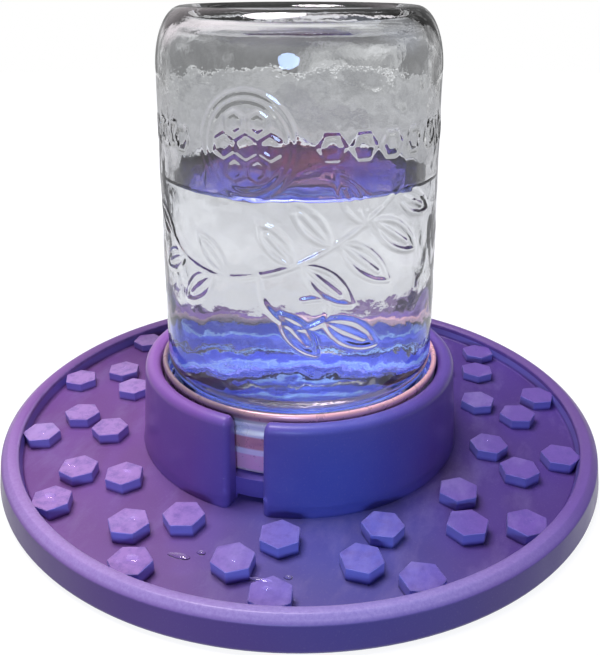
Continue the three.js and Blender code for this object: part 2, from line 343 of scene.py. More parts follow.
def everything():
    bpy.ops.mesh.select_all(action="SELECT")


def pick(piece, kind, wanted):
    """Selects the vertices, edges or faces whose middle passes the test. The piece is in edit mode."""
    bpy.ops.mesh.select_all(action="DESELECT")
    shape = bmesh.from_edit_mesh(piece.data)
    parts = {"VERT": shape.verts, "EDGE": shape.edges, "FACE": shape.faces}[kind]
    for part in parts:
        if kind == "VERT":
            middle = part.co
        elif kind == "EDGE":
            middle = (part.verts[0].co + part.verts[1].co) / 2
        else:
            middle = part.calc_center_median()
        if wanted(middle, part):
            part.select_set(True)
    shape.select_flush_mode()
    bmesh.update_edit_mesh(piece.data)


def settle(piece):
    """Brings the piece's own place to the origin and keeps its shape where it is."""
    only(piece)
    bpy.ops.object.transform_apply(location=True, rotation=True, scale=True)


def close_up():
    """Merges double points and turns the faces outwards. The piece is in edit mode."""
    everything()
    bpy.ops.mesh.remove_doubles(threshold=merge_distance)
    bpy.ops.mesh.normals_make_consistent(inside=False)


def arc(centre, size, start, end, steps=6):
    """Points along part of an ellipse, as radius and height, angles in degrees from straight outwards."""
    points = []
    for k in range(steps + 1):
        angle = math.radians(start + (end - start) * k / steps)
        points.append((centre[0] + size[0] * math.cos(angle), centre[1] + size[1] * math.sin(angle)))
    return points


def arc_between(start, end, steps=5):
    """A soft step from one wall to the next: an S between two points, without the first one."""
    points = []
    for k in range(1, steps + 1):
        share = (1 - math.cos(math.pi * k / steps)) / 2
        points.append((start[0] + (end[0] - start[0]) * share, start[1] + (end[1] - start[1]) * k / steps))
    return points


def curled_edge(wall, level, curl):
    """The edge of a liquid's surface, from inside the wall that it wets down to its level."""
    return [(wall - inwards, level + up) for inwards, up in curl]


def raised(name, outline, segments=144, capped=True):
    """A round piece drawn up ring by ring from a disc, along an outline of radius and height."""
    deselect()
    radius, height = outline[0]
    fill = "NGON" if capped else "NOTHING"
    middle = (0, 0, height)
    bpy.ops.mesh.primitive_circle_add(vertices=segments, radius=radius, location=middle, fill_type=fill)
    piece = bpy.context.object
    piece.name = piece.data.name = name
    edit(piece)
    everything()
    for wide, high in outline[1:]:
        bpy.ops.mesh.extrude_region_move()
        bpy.ops.transform.resize(value=(wide / radius, wide / radius, 1), center_override=(0, 0, 0))
        bpy.ops.transform.translate(value=(0, 0, high - height))
        radius, height = wide, high
    close_up()
    done()
    settle(piece)
    return piece


def combine(piece, other, operation):
    """Joins another solid to the piece, or cuts with it, and uses the other one up."""
    only(piece)
    boolean = piece.modifiers.new("combine", "BOOLEAN")
    boolean.operation = operation
    boolean.solver = "EXACT"
    boolean.object = other
    bpy.ops.object.modifier_apply(modifier=boolean.name)
    bpy.data.objects.remove(other)
    return piece


def join(pieces):
    """Makes one object of many, with its place in its mesh."""
    deselect()
    for piece in pieces:
        piece.select_set(True)
    bpy.context.view_layer.objects.active = pieces[0]
    bpy.ops.object.join()
    joined = bpy.context.object
    settle(joined)
    return joined


def smooth(piece, degrees=35):
    only(piece)
    bpy.ops.object.shade_smooth_by_angle(angle=math.radians(degrees))


def steady_normals(piece):
    """Keeps flat faces flat to the eye where they meet rounded edges."""
    only(piece)
    weighted = piece.modifiers.new("steady", "WEIGHTED_NORMAL")
    weighted.keep_sharp = True
    bpy.ops.object.modifier_apply(modifier=weighted.name)


def turn(angle):
    """Turns the selection about the dish's axis, anticlockwise seen from above, in degrees."""
    bpy.ops.transform.rotate(value=-math.radians(angle), orient_axis="Z", center_override=(0, 0, 0))


# Finishes: the nodes that they share

def put(socket, value):
    """Sets a socket to a value, or links another socket to it."""
    if isinstance(value, bpy.types.NodeSocket):
        socket.id_data.links.new(value, socket)
    else:
        socket.default_value = value


def put_all(made, sockets):
    """Puts values by name, with _ for each space."""
    for socket, value in sockets.items():
        put(made.inputs[socket.replace("_", " ")], value)


def finish(name, **sockets):
    """A material with one Principled shader."""
    material = bpy.data.materials.new(name)
    material.use_nodes = True
    shader = material.node_tree.nodes["Principled BSDF"]
    put_all(shader, sockets)
    return material, material.node_tree, shader


def node(tree, kind, **sockets):
    made = tree.nodes.new(kind)
    put_all(made, sockets)
    return made


def place(tree):
    return tree.nodes.new("ShaderNodeTexCoord").outputs["Object"]


def reckon(tree, operation, *sources):
    """Arithmetic on sockets and numbers."""
    made = tree.nodes.new("ShaderNodeMath")
    made.operation = operation
    for socket, source in zip(made.inputs, sources):
        put(socket, source)
    return made.outputs[0]


def times(tree, first, *others):
    """Multiplies sockets."""
    for other in others:
        first = reckon(tree, "MULTIPLY", first, other)
    return first


def measure(tree, operation, source, other=(0, 0, 0)):
    """A number from a place or a direction: its length, its distance from another, or how far they agree."""
    made = tree.nodes.new("ShaderNodeVectorMath")
    made.operation = operation
    put(made.inputs[0], source)
    put(made.inputs[1], other)
    return made.outputs["Value"]


def distance_from(tree, point, flatten=(1, 1, 1)):
    """How far the surface is from a point, in metres; flatten leaves a direction out."""
    mapping = node(tree, "ShaderNodeMapping", Scale=flatten, Vector=place(tree))
    return measure(tree, "DISTANCE", mapping.outputs["Vector"], point)


def ways(tree):
    """The piece's own X, Y and Z, and the distance out from the dish's axis."""
    x, y, z = node(tree, "ShaderNodeSeparateXYZ", Vector=place(tree)).outputs
    return x, y, z, distance_from(tree, (0, 0, 0), (1, 1, 0))


def noise(tree, scale, detail=3, roughness=0.5, stretch=None):
    """Noise over the piece; scale is in patches per metre."""
    texture = node(tree, "ShaderNodeTexNoise", Scale=scale, Detail=detail, Roughness=roughness)
    source = place(tree)
    if stretch:
        source = node(tree, "ShaderNodeMapping", Scale=stretch, Vector=source).outputs["Vector"]
    put(texture.inputs["Vector"], source)
    return texture.outputs["Fac"]


def ramp(tree, source, low, high, first=0.0, last=1.0):
    """Maps a stretch of the source from one value to another."""
    made = node(tree, "ShaderNodeMapRange", From_Min=low, From_Max=high, To_Min=first, To_Max=last)
    put(made.inputs["Value"], source)
    return made.outputs["Result"]


def blend(tree, share, first, second):
    """Mixes two colours; each is a colour or a socket."""
    mix = tree.nodes.new("ShaderNodeMix")
    mix.data_type = "RGBA"
    put(mix.inputs["Factor"], share)
    for socket, colour in ((mix.inputs[6], first), (mix.inputs[7], second)):
        put(socket, (*colour, 1) if isinstance(colour, tuple) else colour)
    return mix.outputs[2]


def mixed(tree, share, first, second):
    """Mixes two shaders; the share is a number or a socket."""
    mix = tree.nodes.new("ShaderNodeMixShader")
    for socket, source in zip(mix.inputs, (share, first, second)):
        put(socket, source)
    return mix.outputs[0]


def drifting(tree, source, spread):
    """Adds slow noise to a distance, so that colours meet on a wandering line."""
    return reckon(tree, "MULTIPLY_ADD", noise(tree, 22), spread, source)


def bump(tree, shader, source, height, strength=1.0, under=None):
    made = node(tree, "ShaderNodeBump", Strength=strength, Distance=height, Height=source)
    if under:
        put(made.inputs["Normal"], under)
    put(shader.inputs["Normal"], made.outputs["Normal"])
    return made.outputs["Normal"]


def lets_lamps_through(material, tint, finished):
    """Shadow rays pass straight through this clear finish, slightly tinted."""
    tree = material.node_tree
    path = tree.nodes.new("ShaderNodeLightPath")
    clear = node(tree, "ShaderNodeBsdfTransparent", Color=(*tint, 1))
    both = mixed(tree, path.outputs["Is Shadow Ray"], finished, clear.outputs[0])
    put(tree.nodes["Material Output"].inputs["Surface"], both)


# Finishes: one for each material of the feeder

def moulding_hue(tree, side):
    """Plum on the left and violet on the right, painted light and shade, indigo in front, painted blue
    light, with fine pale specks.
    """
    out = ways(tree)[3]
    pigment = blend(tree, side, plum, violet)
    # Painted blue light from the front, full on the collar and weaker out in the dish
    away = drifting(tree, distance_from(tree, front_light_middle), 30 * mm)
    front_light = ramp(tree, away, *front_light_stretch, 0.9, 0.0)
    front_light = times(tree, front_light, ramp(tree, out, beside_collar, front_light_radius, 1.0, 0.75))
    pigment = blend(tree, front_light, pigment, indigo)
    specks = ramp(tree, noise(tree, 1900, 2, 0.6), 0.58, 0.76, 0.0, 0.16)
    return blend(tree, specks, pigment, speck_tone)


def dish_tones(tree, pigment, inside, side):
    """Inside the rim: painted highlight on the scuffed stud tops, painted light on the stud sides, lighter
    streaks on the floor and painted shade at the far left.
    """
    x, y, z, out = ways(tree)
    top = ramp(tree, z, stud_top - 0.25 * mm, stud_top - 0.05 * mm)
    clear = ramp(tree, out, beside_collar, beside_collar + 1 * mm)
    landing = times(tree, inside, top, clear)
    # Painted highlight on the stud tops, strongest on the left
    pale = times(tree, landing, ramp(tree, side, 0.0, 1.0, 0.32, 0.04))
    pigment = blend(tree, pale, pigment, stud_top_highlight_tone)
    scuffs = times(tree, landing, ramp(tree, noise(tree, 330, 5, 0.7), 0.45, 0.68, 0.0, 0.55))
    pigment = blend(tree, scuffs, pigment, scuff_tone)
    # Lighter stretched streaks on the floor, faint beside the collar
    floor_streaks = ramp(tree, noise(tree, 55, 6, 0.65, (1, 0.45, 1)), 0.50, 0.72, 0.0, 0.30)
    floor_streaks = times(tree, inside, floor_streaks, ramp(tree, out, beside_collar, beside_collar + 1 * mm, 0.15, 1.0))
    pigment = blend(tree, floor_streaks, pigment, floor_streak_tone)
    # Painted light on the stud sides, bluer and lighter towards the front, fading out at their feet and tops
    painted_side_light = times(tree, inside, ramp(tree, z, dish_floor + 0.3 * mm, dish_floor + 2.5 * mm), clear)
    painted_side_light = times(tree, painted_side_light, ramp(tree, top, 0.0, 1.0, 1.0, 0.0))
    painted_side_light = times(tree, painted_side_light, ramp(tree, y, *stud_side_light_stretch, 0.80, 0.45))
    pigment = blend(tree, painted_side_light, pigment, stud_side_light_tone)
    # Painted shade at the far left of the dish
    far = times(tree, ramp(tree, y, *far_shade_stretch, 0.0, 0.72), ramp(tree, x, *left_stretch, 1.0, 0.0))
    return blend(tree, far, pigment, far_left_shade_tone)


def rim_tones(tree, pigment):
    """Painted shade on the rim's crown towards the back, dust with a painted sheen on it in front, and
    painted shade on the outer wall.
    """
    x, y, z, out = ways(tree)
    high = ramp(tree, z, rim_height - rim_shoulder, rim_height - 1 * mm)
    crown = times(tree, high, ramp(tree, out, rim_inner - 0.2 * mm, rim_inner + 0.2 * mm))
    # Painted shade on the crown towards the back
    shaded = times(tree, crown, ramp(tree, y, *crown_shade_stretch, 0.1, 0.65))
    pigment = blend(tree, shaded, pigment, crown_shade_tone)
    # Dust on the crown, and a painted sheen where it is strongest in front
    dust = ramp(tree, noise(tree, 1100, 4, 0.7), 0.36, 0.78, 0.36, 0.62)
    dust_and_sheen = times(tree, crown, ramp(tree, y, *dust_and_sheen_stretch, 1.0, 0.12), dust)
    pigment = blend(tree, dust_and_sheen, pigment, dust_and_sheen_tone)
    # Painted shade on the outer wall, most on the left
    low = ramp(tree, z, rim_height - rim_shoulder, rim_height - 1 * mm, 1.0, 0.0)
    wall = times(tree, low, ramp(tree, out, dish_radius - 3.2 * mm, dish_radius - 2 * mm))
    wall = times(tree, wall, ramp(tree, x, *wall_shade_stretch, 0.78, 0.24))
    return blend(tree, wall, pigment, wall_shade_tone)


def wet_and_shaded(tree, pigment, inside):
    """Darkens the floor under the liquid and the feet of what stands on it: partly a wet surface's own
    darkening, partly painted shade at the feet of the studs and walls.
    """
    z = ways(tree)[2]
    below = ramp(tree, z, pool_high.z - 0.1 * mm, pool_high.z + 0.5 * mm, 1.0, 0.0)
    # Wet darkening and painted shade near the floor
    depth = ramp(tree, z, dish_floor + 0.2 * mm, dish_floor + 1.5 * mm, 0.70, 1.0)
    dark = blend(tree, depth, (0, 0, 0), pigment)
    return blend(tree, times(tree, below, inside), pigment, dark)


def moulded_violet():
    """Satin flexible moulding: plum that drifts to violet on the right and to indigo in front, painted light
    and shade, and darker on the floor under the liquid.
    """
    material, tree, shader = finish(
        "moulded violet", Roughness=0.42, IOR=1.36, Coat_Weight=0.18, Coat_Roughness=0.16, Coat_IOR=1.35
    )
    x, _, _, out = ways(tree)
    # Share of violet: painted shade that grows from the lit left to the right
    side = ramp(tree, drifting(tree, x, 60 * mm), *violet_stretch)
    inside = ramp(tree, out, rim_inner + 0.2 * mm, rim_inner + 0.8 * mm, 1.0, 0.0)
    pigment = moulding_hue(tree, side)
    pigment = dish_tones(tree, pigment, inside, side)
    pigment = rim_tones(tree, pigment)
    put(shader.inputs["Base Color"], wet_and_shaded(tree, pigment, inside))
    put(shader.inputs["Roughness"], ramp(tree, noise(tree, 60, 4, 0.6), 0.3, 0.7, 0.32, 0.46))
    soft = bump(tree, shader, noise(tree, 90), 0.25 * mm, 0.35)
    bump(tree, shader, noise(tree, 1500, 2), 0.02 * mm, 0.15, under=soft)
    return material


def clear_feed(name, ripple, dull=0.0):
    """Clear liquid with a slightly uneven surface; dull is the share of it that mirrors nothing."""
    material, tree, shader = finish(
        name, Base_Color=feed_tint, Roughness=0.0, IOR=feed_ior, Transmission_Weight=1.0
    )
    wave = bump(tree, shader, noise(tree, 120, 2), ripple, 0.6)
    finished = shader.outputs[0]
    if dull:
        plain = node(tree, "ShaderNodeBsdfRefraction", Color=feed_tint, Roughness=0.0, IOR=feed_ior)
        put(plain.inputs["Normal"], wave)
        finished = mixed(tree, dull, finished, plain.outputs[0])
    lets_lamps_through(material, (0.95, 0.96, 1), finished)
    return material


def painted_reflection_on_feed():
    """Painted reflection on the jar's feed: brown in the middle, plum on the left, bluer on the right and
    lighter in front.
    """
    material = clear_feed("painted reflection on the feed", 0.12 * mm, 0.75)
    tree = material.node_tree
    x, y, _, _ = ways(tree)
    # Painted reflection: colours that stand in for what the surface mirrors and shows through it
    colour = blend(tree, ramp(tree, x, *reflection_side_stretch), reflection_left, reflection_right)
    away = distance_from(tree, reflection_brown_middle, (1, 1, 0))
    colour = blend(tree, ramp(tree, away, *reflection_brown_stretch, 0.9, 0.0), colour, reflection_brown)
    colour = blend(tree, ramp(tree, y, *reflection_front_stretch, 1.0, 0.0), colour, reflection_front)
    for surface, socket in (("Principled BSDF", "Base Color"), ("Refraction BSDF", "Color")):
        put(tree.nodes[surface].inputs[socket], colour)
    return material


def pressed_glass():
    """Clear pressed glass, a little grey, with the long waves of a cheap mould."""
    material, tree, shader = finish(
        "pressed glass", Base_Color=(0.925, 0.935, 0.94, 1), Roughness=0.0, IOR=1.5, Transmission_Weight=1.0
    )
    wave = bump(tree, shader, noise(tree, 55, 2, stretch=(1, 1, 0.45)), 0.5 * mm, 0.5)
    bump(tree, shader, noise(tree, 330), 0.08 * mm, 0.5, under=wave)
    lets_lamps_through(material, (0.88, 0.9, 0.9), shader.outputs[0])
    return material


def lacquered_sheet(name, colour, roughness, metal, painted_tones_by_height=(), rings=(), dark_reflection_above=None):
    """Tinned sheet under coloured lacquer, with fine scuffs and drawn lines. The painted tones by height are
    painted reflections, highlights and shade: each is a height and a colour that holds above it. Rings are
    radii of painted highlight. Above the dark reflection height the left side carries a painted dark
    reflection."""
    material, tree, shader = finish(
        name, Roughness=roughness, Metallic=metal, Coat_Weight=0.5, Coat_Roughness=0.12
    )
    x, _, z, out = ways(tree)
    for height, tone in painted_tones_by_height:
        above = ramp(tree, z, height - tone_edge, height + tone_edge)
        colour = blend(tree, above, colour, tone)
    # Painted dark reflection on the left side above this height
    if dark_reflection_above:
        above = ramp(tree, z, dark_reflection_above - tone_edge, dark_reflection_above + tone_edge)
        left = ramp(tree, drifting(tree, x, 20 * mm), 0.0, 30 * mm, 0.85, 0.0)
        colour = blend(tree, times(tree, above, left), colour, dark_reflection_tone)
    # Painted highlight along each ring
    for radius in rings:
        colour = blend(tree, reckon(tree, "COMPARE", out, radius, 0.6 * mm), colour, ring_highlight_tone)
    scuffs = ramp(tree, noise(tree, 260, 5, 0.65), 0.60, 0.74, 0.0, 0.2)
    put(shader.inputs["Base Color"], blend(tree, scuffs, colour, scuffed_sheet))
    gloss = ramp(tree, noise(tree, 240, 4, 0.6), 0.3, 0.75, roughness * 0.7, roughness * 1.5)
    put(shader.inputs["Roughness"], gloss)
    bump(tree, shader, noise(tree, 500, 2, stretch=(0.15, 0.15, 6)), 0.03 * mm, 0.4)
    return material


def sealing_compound():
    material, tree, shader = finish("sealing compound", Roughness=0.6)
    grain = ramp(tree, noise(tree, 700), 0.35, 0.65)
    put(shader.inputs["Base Color"], blend(tree, grain, (0.10, 0.11, 0.42), (0.15, 0.17, 0.58)))
    bump(tree, shader, noise(tree, 900), 0.08 * mm, 0.5)
    return material


def wear(piece, material):
    piece.data.materials.clear()
    piece.data.materials.append(material)


def wear_second(piece, material, wanted):
    """Gives a second finish to the faces that pass the test."""
    piece.data.materials.append(material)
    edit(piece, "FACE")
    pick(piece, "FACE", wanted)
    piece.active_material_index = 1
    bpy.ops.object.material_slot_assign()
    done()


# Camera, floor and lights

def camera():
    """The photograph's viewpoint: seen from the slot's right, looking down at the collar."""
    distance, height, pitch, bearing = 234.949 * mm, 147.061 * mm, 0.424, math.radians(17.6)
    pan, shift = -0.002, -0.0014
    pixels, focal = 655, 772.18
    lens = bpy.data.cameras.new("camera")
    eye = bpy.data.objects.new("camera", lens)
    bpy.context.scene.collection.objects.link(eye)
    lens.sensor_width = 36
    lens.lens = focal * lens.sensor_width / pixels
    lens.shift_x = shift
    lens.clip_start, lens.clip_end = 0.01, 20
    eye.location = (distance * math.sin(bearing), -distance * math.cos(bearing), height)
    eye.rotation_euler = (math.pi / 2 - pitch, 0, bearing + pan)
    bpy.context.scene.camera = eye


def seen_through(tree):
    """1 for rays from the eye, mirrored or through glass, before they light anything; 0 for all others."""
    path = tree.nodes.new("ShaderNodeLightPath")
    direct = path.outputs["Is Camera Ray"]
    seen = direct
    for other in ("Is Glossy Ray", "Is Transmission Ray"):
        seen = reckon(tree, "MAXIMUM", seen, path.outputs[other])
    straight = ramp(tree, path.outputs["Diffuse Depth"], 0.0, 1.0, 1.0, 0.0)
    return direct, times(tree, seen, straight)


def floor():
    """Plain white floor, a round sheet. It glows a little to the eye, and still takes the dish's shadow."""
    deselect()
    bpy.ops.mesh.primitive_circle_add(
        vertices=96, radius=floor_radius, location=(0, 0, -floor_drop), fill_type="NGON"
    )
    ground = bpy.context.object
    ground.name = "floor"
    material, tree, shader = finish(
        "white floor", Base_Color=floor_grey, Roughness=0.9, Specular_IOR_Level=0.0,
        Emission_Color=(1, 1, 1, 1),
    )
    direct, seen = seen_through(tree)
    away = measure(tree, "LENGTH", place(tree))
    glow = ramp(tree, away, 0.12, 0.4, 0.9, 1.0)
    cloudy = ramp(tree, noise(tree, 7, 5, 0.6), 0.38, 0.64, 0.30, 0.54)
    cloudy = times(tree, cloudy, ramp(tree, away, 0.16, 0.45, 1.75, 1.0))
    brink = floor_radius - floor_brink
    behind = reckon(tree, "ADD", cloudy, ramp(tree, away, brink, brink + floor_brink_width, 0.0, 0.6))
    strength = node(tree, "ShaderNodeMix", Factor=direct, A=times(tree, seen, behind), B=glow)
    put(shader.inputs["Emission Strength"], strength.outputs["Result"])
    wear(ground, material)


def window(tree, towards, wide, soft):
    """A soft round patch of the studio in one direction: 1 inside, 0 outside."""
    around = tree.nodes.new("ShaderNodeTexCoord").outputs["Generated"]
    facing = measure(tree, "DOT_PRODUCT", around, Vector(towards).normalized())
    edge, middle = math.cos(math.radians(wide + soft)), math.cos(math.radians(wide))
    return ramp(tree, facing, edge, middle)


def studio():
    """White to the eye; grey walls and white windows in mirrors and glass; a pale dome for the pieces."""
    world = bpy.data.worlds.new("studio")
    bpy.context.scene.world = world
    world.use_nodes = True
    tree = world.node_tree
    tree.nodes.clear()
    output = tree.nodes.new("ShaderNodeOutputWorld")
    direct, seen = seen_through(tree)
    patches = node(tree, "ShaderNodeTexNoise", Scale=5.5, Detail=4, Roughness=0.55, Distortion=0.6)
    put(patches.inputs["Vector"], tree.nodes.new("ShaderNodeTexCoord").outputs["Generated"])
    room = blend(tree, ramp(tree, patches.outputs["Fac"], 0.49, 0.68), wall_grey, wall_pale)
    for towards, wide, soft, colour in studio_windows:
        room = blend(tree, window(tree, towards, wide, soft), room, colour)
    dome = node(tree, "ShaderNodeBackground", Color=dome_colour, Strength=dome_strength)
    around = node(tree, "ShaderNodeBackground", Color=blend(tree, direct, room, (1, 1, 1)), Strength=1)
    put(output.inputs["Surface"], mixed(tree, seen, dome.outputs[0], around.outputs[0]))


def lamps():
    for name, hung, aim, size, power, colour in studio_lamps:
        light = bpy.data.lights.new(name, "AREA")
        light.shape = "ELLIPSE"
        light.size, light.size_y = size
        light.energy = power
        light.color = colour
        lamp = bpy.data.objects.new(name, light)
        bpy.context.scene.collection.objects.link(lamp)
        lamp.location = hung
        lamp.rotation_euler = (Vector((0, 0, aim)) - Vector(hung)).to_track_quat("-Z", "Y").to_euler()
        lamp.visible_camera = False
        lamp.visible_transmission = False


# The dish

def dish():
    """Floor and rim in one outline: foot, outer edge, sloping crown, rounded inner edge and floor."""
    crest = dish_radius - rim_crest
    edge_middle = (dish_radius - rim_lean - rim_edge_round, rim_height - rim_shoulder)
    edge = arc(edge_middle, (rim_edge_round, rim_edge_round), 0, rim_edge_turn, 5)
    crown_radius, crown_height = edge[-1]
    crown = []
    for k in range(1, rim_crown_steps + 1):
        left = 1 - k / rim_crown_steps
        fall = (rim_height - crown_height) * left**rim_crown_power
        crown.append((crest + (crown_radius - crest) * left, rim_height - fall))
    rim_foot = rim_inner - rim_foot_round
    outline = [(dish_radius - 2 * foot_round, 0)]
    outline += arc((dish_radius - foot_round, foot_round), (foot_round, foot_round), -90, 0, 5)
    outline += edge + crown
    inner_middle = (crest, rim_height - rim_inner_round)
    outline += arc(inner_middle, (crest - rim_inner, rim_inner_round), 90, 180)[1:]
    outline += arc((rim_foot, dish_floor + rim_foot_round), (rim_foot_round, rim_foot_round), 0, -90, 4)
    outline += [(rim_foot - rim_foot_round / 2, dish_floor), (rim_inner / 3, dish_floor)]
    return raised("tray_moulding", outline, 180)


def collar():
    """The C-shaped wall: a section spun round the dish from jamb to jamb, with its two ends rounded off."""
    middle, half = (collar_inner + collar_outer) / 2, collar_wall / 2
    foot = dish_floor - root_depth
    height = collar_top - foot
    halfway = foot + height / 2
    deselect()
    bpy.ops.mesh.primitive_plane_add(size=1, location=(middle, 0, halfway), rotation=(math.pi / 2, 0, 0))
    wall = bpy.context.object
    wall.name = wall.data.name = "collar"
    wall.scale = (collar_wall, height, 1)
    settle(wall)
    edit(wall)
    pick(wall, "VERT", lambda at, vertex: at.z > halfway)
    bpy.ops.mesh.bevel(offset=half - collar_crown_flat / 2, segments=7, affect="VERTICES")
    everything()
    half_slot = math.degrees(math.asin(slot_width / 2 / middle))
    rounding = math.degrees(jamb_round / middle)
    sweep = 360 - 2 * (half_slot + rounding)
    bpy.ops.mesh.spin(steps=collar_steps, angle=math.radians(sweep), center=(0, 0, 0), axis=(0, 0, 1))
    for side in (1, -1):
        if side < 0:
            everything()
            turn(sweep)
        round_jamb(wall, side, middle, foot, height)
    everything()
    turn(half_slot + rounding - 90)
    pick(wall, "VERT", lambda at, vertex: at.z < dish_floor and at.xy.length > middle)
    spread = (collar_outer + collar_flare) / collar_outer
    bpy.ops.transform.resize(value=(spread, spread, 1), center_override=(0, 0, 0))
    close_up()
    done()
    settle(wall)
    return wall


def round_jamb(wall, side, middle, foot, height):
    """Draws the wall's end face out step by step, ever narrower and lower, towards one side."""
    pick(wall, "FACE", lambda at, face: abs(face.normal.y) > 0.99 and abs(at.y) < jamb_flat and at.x > 0)
    width, high, along = 1, 1, 0
    for k in range(1, jamb_steps + 1):
        angle = math.radians(90 * k / jamb_steps)
        new_width = 1 - (jamb_round - jamb_flat) * (1 - math.cos(angle)) / (collar_wall / 2)
        new_high = 1 - slot_corner * (1 - math.cos(angle)) / height
        new_along = jamb_round * math.sin(angle)
        bpy.ops.mesh.extrude_region_move()
        shrink = (new_width / width, 1, new_high / high)
        bpy.ops.transform.resize(value=shrink, center_override=(middle, 0, foot))
        bpy.ops.transform.translate(value=(0, side * (new_along - along), 0))
        width, high, along = new_width, new_high, new_along


def seat():
    """The ring inside the collar that the band stands on, with the low gate for the liquid."""
    foot = dish_floor - root_depth
    low, high = collar_inner - seat_width, collar_inner + collar_wall / 3
    outline = [(low, foot), (high, foot), (high, seat_height)]
    outline += [(low + seat_edge, seat_height), (low, seat_height - seat_edge), (low, foot)]
    ring = raised("seat", outline, capped=False)
    deselect()
    bpy.ops.mesh.primitive_cube_add(size=1, location=(0, -(collar_inner - seat_width / 2), dish_floor))
    gate = bpy.context.object
    gate.scale = (gate_width, seat_width + 4 * cut_past, 2 * gate_height)
    settle(gate)
    return combine(ring, gate, "DIFFERENCE")


def stud_place(ring, k):
    """Middle of a landing stud, and its bearing anticlockwise from the slot."""
    radius = rim_inner - stud_rim_distance - stud_ring_pitch * ring
    bearing = math.radians(360 / studs_per_ring * (stud_step_shares[ring % len(stud_step_shares)] + k))
    return radius * math.sin(bearing), -radius * math.cos(bearing), bearing


def studs():
    """One six-sided stud with softened edges, copied round the dish."""
    deselect()
    depth = stud_height + root_depth
    bpy.ops.mesh.primitive_cylinder_add(
        vertices=6, radius=stud_corner, depth=depth, location=(0, 0, stud_top - depth / 2)
    )
    stud = bpy.context.object
    stud.name = "stud"
    settle(stud)
    edit(stud, "EDGE")
    pick(stud, "EDGE", lambda at, edge: at.z > dish_floor - root_depth + stud_edge)
    bpy.ops.mesh.bevel(offset=stud_edge, segments=3, profile=0.6, affect="EDGES")
    done()
    copies = []
    for ring in range(stud_rings):
        for k in range(studs_per_ring):
            only(stud)
            bpy.ops.object.duplicate()
            copy = bpy.context.object
            x, y, bearing = stud_place(ring, k)
            copy.location = (x, y, 0)
            copy.rotation_euler = (0, 0, bearing)
            copies.append(copy)
    bpy.data.objects.remove(stud)
    return join(copies)


def tray_moulding():
    tray = dish()
    for other in (collar(), seat(), studs()):
        combine(tray, other, "UNION")
    smooth(tray, 32)
    steady_normals(tray)
    wear(tray, moulded_violet())
    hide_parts("tray")
    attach(tray, "base")


def dish_feed():
    """The liquid that stands in the dish, curling up a little where it meets the rim."""
    outline = [(rim_inner + wetting, dish_floor - wetting)]
    outline += curled_edge(rim_inner, pool_high.z, dish_edge_curl)
    pool = raised("dish_feed", outline)
    smooth(pool, 40)
    wear(pool, clear_feed("feed in the dish", 0.25 * mm, 1.0))
    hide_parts("tray_liquid")
    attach(pool, "base")


def drop(at, size, number):
    """One drop, a little uneven in its own way."""
    deselect()
    bpy.ops.mesh.primitive_uv_sphere_add(segments=20, ring_count=12, radius=1, location=(0, 0, 0))
    bead = bpy.context.object
    for vertex in bead.data.vertices:
        swell = 1 + drop_swell * waves.noise(vertex.co * 1.2 + Vector((number, 0, 0)))
        vertex.co = (vertex.co.x * size[0] * swell, vertex.co.y * size[1] * swell, vertex.co.z * size[2])
    bead.location = at
    return bead


def drops():
    """Drops and dribbles of feed on the stud tops, at the studs' feet and on the collar beside the slot."""
    wanted = []
    for ring, k, across, back, wide, deep in drops_on_studs:
        x, y, _ = stud_place(ring, k)
        size = (stud_drop_share * wide * mm, stud_drop_share * deep * mm, stud_drop_height)
        wanted.append(((x + across * mm, y + back * mm, stud_top), size))
    for x, y, wide, deep in drops_in_dish:
        wanted.append(((x * mm, y * mm, pool_high.z), (wide * mm, deep * mm, dish_drop_height)))
    for bearing, height, wide in drops_on_collar:
        angle = math.radians(bearing)
        flare = collar_flare * (1 - height * mm / collar_top)
        reach = collar_outer + flare - collar_drop_sink
        at = (reach * math.sin(angle), -reach * math.cos(angle), height * mm)
        wanted.append((at, (wide * mm, collar_drop_depth, wide * 1.3 * mm)))
    beads = join([drop(at, size, number) for number, (at, size) in enumerate(wanted, 1)])
    beads.name = beads.data.name = "feed_drops"
    smooth(beads, 80)
    wear(beads, clear_feed("feed in drops", 0.02 * mm))
    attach(beads, "base")


# The jar and what closes it

def jar_inside():
    """Inside of the glass from the base down to the mouth, as radius and height."""
    flat, ceiling = jar_bearing - 2 * bearing_width, jar_high.z - push_up - jar_base
    wall, bore = jar_body - jar_wall, jar_neck - jar_wall
    points = [(flat, ceiling), (flat + 1.2 * mm, ceiling + 0.3 * mm)]
    points += arc((jar_bearing, heel_foot), (heel_width - jar_wall, heel_height - jar_base), 90, 0, 9)
    points += [(wall, shoulder_top)]
    points += arc_between((wall, shoulder_top), (bore, shoulder_foot))
    return points + [(bore + outwards, jar_low.z + up) for outwards, up in lip_at_bore]


def jar_outside():
    """Outside of the glass from the mouth up to the push-up in its base."""
    top = jar_high.z
    points = [(jar_neck - inwards, jar_low.z + up) for inwards, up in lip_at_neck]
    points += arc((jar_neck, shoulder_top), (jar_body - jar_neck, shoulder_length), -90, 0)
    points += arc((jar_bearing, heel_foot), (heel_width, heel_height), 0, 90, 14)
    points += [(jar_bearing - bearing_width, top - 0.1 * mm)]
    points += [(jar_bearing - 1.5 * bearing_width, top - push_up / 2)]
    return points + [(jar_bearing - 2 * bearing_width, top - push_up)]


def thread_height(at, start, half_widths):
    """How far the screw thread stands up at a place, as a share, where its middle starts at this height."""
    turned, along = around_from_slot(at) % 360, at.z - start
    root, crest = half_widths
    highest = 0
    for lap in (0, 1):
        angle = turned + 360 * lap
        left = min(angle, 360 * thread_turns - angle)
        if left > 0:
            away = abs(along - angle / 360 * thread_pitch)
            slope = min(1, max(0, (root - away) / (root - crest)))
            highest = max(highest, slope * min(1, left / thread_runout))
    return highest


